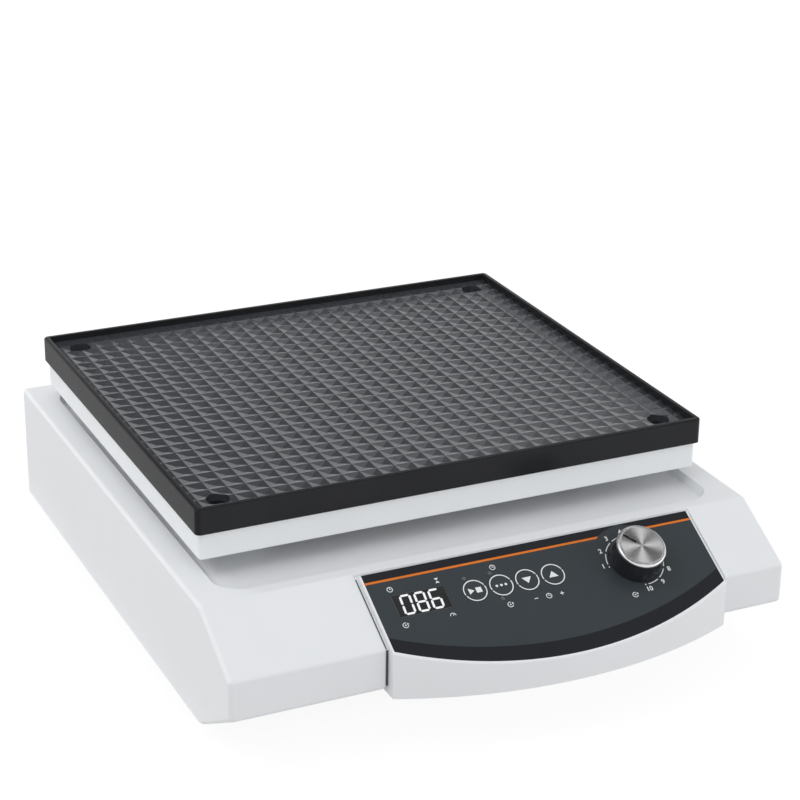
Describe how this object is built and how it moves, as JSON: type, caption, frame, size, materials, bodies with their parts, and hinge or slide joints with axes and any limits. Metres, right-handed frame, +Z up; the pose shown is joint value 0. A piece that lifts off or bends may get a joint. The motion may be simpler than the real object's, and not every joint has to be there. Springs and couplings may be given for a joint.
{
  "type": "orbital shaker",
  "caption": "Bench orbital shaker: square platform with a dimpled rubber mat on an eccentric crank drive, low moulded housing, sloping front console with keys, display and speed knob.",
  "frame": {"origin": "on the bench, under the middle of the whole instrument's box", "axes": "+Z up, -Y towards the console at the front, +X to the right seen from the front"},
  "size_m": [0.32, 0.375, 0.1166],
  "materials": {
    "housing": "satin moulded",
    "carrier": "satin moulded",
    "tray_black": "satin powder coat",
    "mat_rubber": "matt, dimpled",
    "foot_rubber": "matt",
    "film": "satin printed film",
    "key": "satin",
    "window": "smoked, glossy",
    "display": "matt",
    "lamp": "diffused",
    "knob_black": "satin",
    "knob_metal": "turned",
    "steel": "zinc plated",
    "plate_steel": "grey coat",
    "cast": "machined",
    "iron": "machined",
    "bronze": "machined",
    "ring_steel": "ground",
    "belt": "matt",
    "motor": "black coat",
    "board": "green lacquer",
    "component": "matt",
    "inlet_black": "matt",
    "pin_metal": "plated"
  },
  "bodies": {
    "base": {"base_cover": "housing", "console_shell": "housing", "base_plate": "plate_steel", "feet": "foot_rubber", "foot_screws": "steel", "plate_screws": "steel", "chassis_posts": "steel", "chassis_plate": "plate_steel", "chassis_screws": "steel", "idler_housing_screws": "steel", "main_bearing_housing": "cast", "main_outer_rings": "ring_steel", "idler_housings": "cast", "idler_lower_bushes": "bronze", "motor_body": "motor", "drive_belt": "belt", "console_screws": "steel", "panel_film": "film", "display_lens": "window", "display_module": "display", "control_board": "board", "board_screws": "steel", "tact_switches": "component", "indicator_leds": "lamp", "potentiometer": "component", "potentiometer_nut": "steel", "power_posts": "steel", "power_board": "board", "power_components": "component", "mains_inlet": "inlet_black", "inlet_pins": "pin_metal", "inlet_screws": "steel", "switch_housing": "inlet_black"},
    "crank": {"crankshaft": "steel", "drive_pulley": "cast", "counterweight": "iron", "counterweight_screws": "steel", "crank_inner_rings": "ring_steel", "shaft_circlips": "steel"},
    "platform": {"platform_carrier": "carrier", "tray": "tray_black", "grip_mat": "mat_rubber", "tray_screws": "steel", "platform_outer_ring": "ring_steel", "idler_upper_bushes": "bronze"},
    "idler_1": {"idler_crank_1": "steel"},
    "idler_2": {"idler_crank_2": "steel"},
    "idler_3": {"idler_crank_3": "steel"},
    "idler_4": {"idler_crank_4": "steel"},
    "rotor": {"motor_shaft": "steel", "motor_pulley": "cast"},
    "speed_knob": {"knob_body": "knob_black", "knob_cap": "knob_metal", "knob_spindle": "steel"},
    "start_stop": {"start_stop_key": "key"},
    "select": {"select_key": "key"},
    "down": {"down_key": "key"},
    "up": {"up_key": "key"},
    "power_rocker": {"rocker": "inlet_black"}
  },
  "joints": [
    {"name": "crank_spin", "type": "hinge", "parent": "base", "child": "crank", "pos_m": [0, 0.0375, 0.05], "axis": [0, 0, 1], "continuous": true},
    {"name": "platform_orbit", "type": "hinge", "parent": "crank", "child": "platform", "pos_m": [0, 0.0425, 0.085], "axis": [0, 0, 1], "continuous": true},
    {"name": "idler_1_spin", "type": "hinge", "parent": "base", "child": "idler_1", "pos_m": [-0.105, -0.0475, 0.06], "axis": [0, 0, 1], "continuous": true},
    {"name": "idler_2_spin", "type": "hinge", "parent": "base", "child": "idler_2", "pos_m": [-0.105, 0.1225, 0.06], "axis": [0, 0, 1], "continuous": true},
    {"name": "idler_3_spin", "type": "hinge", "parent": "base", "child": "idler_3", "pos_m": [0.105, -0.0475, 0.06], "axis": [0, 0, 1], "continuous": true},
    {"name": "idler_4_spin", "type": "hinge", "parent": "base", "child": "idler_4", "pos_m": [0.105, 0.1225, 0.06], "axis": [0, 0, 1], "continuous": true},
    {"name": "motor_spin", "type": "hinge", "parent": "base", "child": "rotor", "pos_m": [0, -0.0625, 0.05], "axis": [0, 0, 1], "continuous": true},
    {"name": "knob_turn", "type": "hinge", "parent": "base", "child": "speed_knob", "pos_m": [0.076, -0.14574, 0.06917], "axis": [0, -0.4808, 0.8768], "range_deg": [-220, 50]},
    {"name": "start_stop_press", "type": "slide", "parent": "base", "child": "start_stop", "axis": [0, 0.4808, -0.8768], "range_m": [0, 0.0005], "stiffness_N_per_m": 600},
    {"name": "select_press", "type": "slide", "parent": "base", "child": "select", "axis": [0, 0.4808, -0.8768], "range_m": [0, 0.0005], "stiffness_N_per_m": 600},
    {"name": "down_press", "type": "slide", "parent": "base", "child": "down", "axis": [0, 0.4808, -0.8768], "range_m": [0, 0.0005], "stiffness_N_per_m": 600},
    {"name": "up_press", "type": "slide", "parent": "base", "child": "up", "axis": [0, 0.4808, -0.8768], "range_m": [0, 0.0005], "stiffness_N_per_m": 600},
    {"name": "rocker_tilt", "type": "hinge", "parent": "base", "child": "power_rocker", "pos_m": [-0.056, 0.1809, 0.044], "axis": [1, 0, 0], "range_deg": [0, 20]}
  ],
  "couplings": [
    {"joint": "platform_orbit", "follows": "crank_spin", "ratio": -1},
    {"joint": "idler_1_spin", "follows": "crank_spin", "ratio": 1},
    {"joint": "idler_2_spin", "follows": "crank_spin", "ratio": 1},
    {"joint": "idler_3_spin", "follows": "crank_spin", "ratio": 1},
    {"joint": "idler_4_spin", "follows": "crank_spin", "ratio": 1},
    {"joint": "motor_spin", "follows": "crank_spin", "ratio": 3}
  ]
}
